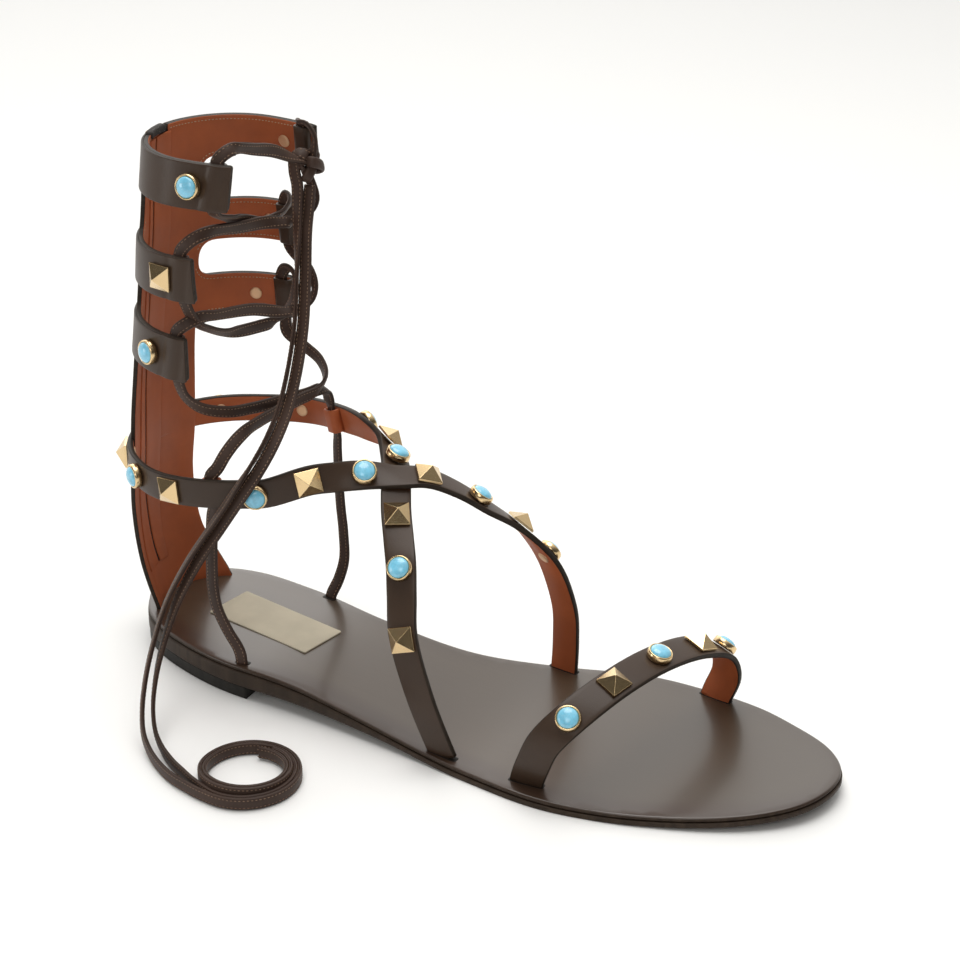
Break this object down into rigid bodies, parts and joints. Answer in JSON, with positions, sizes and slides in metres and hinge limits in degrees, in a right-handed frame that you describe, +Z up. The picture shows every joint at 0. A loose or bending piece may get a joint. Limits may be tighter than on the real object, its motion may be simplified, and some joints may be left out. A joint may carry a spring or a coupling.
{
  "type": "gladiator sandal",
  "caption": "Flat gladiator sandal with a laced, zipped ankle shaft, studded crossed instep straps, a toe strap and long lace ends coiled beside it.",
  "frame": {"origin": "on the floor, in the middle of the heel lift's underside", "axes": "+X from the heel to the toe, +Y to the medial side, +Z up"},
  "size_m": [0.252, 0.1313, 0.186],
  "materials": {
    "outer": "smooth dark brown strap leather, painted edges, cognac lining",
    "edge": "dark painted sole edge, satin",
    "footbed": "burnished taupe footbed leather, semi-gloss",
    "label": "bare cream patch, matte",
    "gold": "polished light gold plating",
    "stone": "polished turquoise dome",
    "zip": "dark tape with dark teeth",
    "slider": "aged dark brass",
    "lace": "flat brown leather lace with two stitch rows"
  },
  "bodies": {
    "root": {"outsole": "edge", "insole": "footbed", "heel_lift": "edge", "label": "label", "upper": "outer", "toe_strap": "outer", "zip_chain": "zip", "zip_slider": "slider", "lateral_strap_1_pyramid": "gold", "lateral_strap_2_setting": "gold", "lateral_strap_2_stone": "stone", "lateral_strap_3_pyramid": "gold", "lateral_strap_4_setting": "gold", "lateral_strap_4_stone": "stone", "lateral_strap_5_pyramid": "gold", "lateral_strap_6_setting": "gold", "lateral_strap_6_stone": "stone", "lateral_strap_7_pyramid": "gold", "lateral_strap_8_setting": "gold", "lateral_strap_8_stone": "stone", "lateral_strap_9_pyramid": "gold", "lateral_strap_10_setting": "gold", "lateral_strap_10_stone": "stone", "medial_strap_1_setting": "gold", "medial_strap_1_stone": "stone", "medial_strap_2_pyramid": "gold", "medial_strap_3_setting": "gold", "medial_strap_3_stone": "stone", "medial_strap_4_pyramid": "gold", "medial_strap_5_setting": "gold", "medial_strap_5_stone": "stone", "medial_strap_6_pyramid": "gold", "medial_strap_7_setting": "gold", "medial_strap_7_stone": "stone", "medial_strap_8_pyramid": "gold", "toe_strap_1_setting": "gold", "toe_strap_1_stone": "stone", "toe_strap_2_pyramid": "gold", "toe_strap_3_setting": "gold", "toe_strap_3_stone": "stone", "toe_strap_4_pyramid": "gold", "toe_strap_5_setting": "gold", "toe_strap_5_stone": "stone", "lateral_top_arm_setting": "gold", "lateral_top_arm_stone": "stone", "medial_top_arm_setting": "gold", "medial_top_arm_stone": "stone", "lateral_middle_arm_pyramid": "gold", "medial_middle_arm_pyramid": "gold", "lateral_low_arm_setting": "gold", "lateral_low_arm_stone": "stone", "medial_low_arm_setting": "gold", "medial_low_arm_stone": "stone", "lace_low": "lace", "lace_middle": "lace", "lace_high": "lace", "lace_knot": "lace", "lace_end_a": "lace", "lace_end_b": "lace", "lace_coil": "lace"}
  },
  "joints": []
}
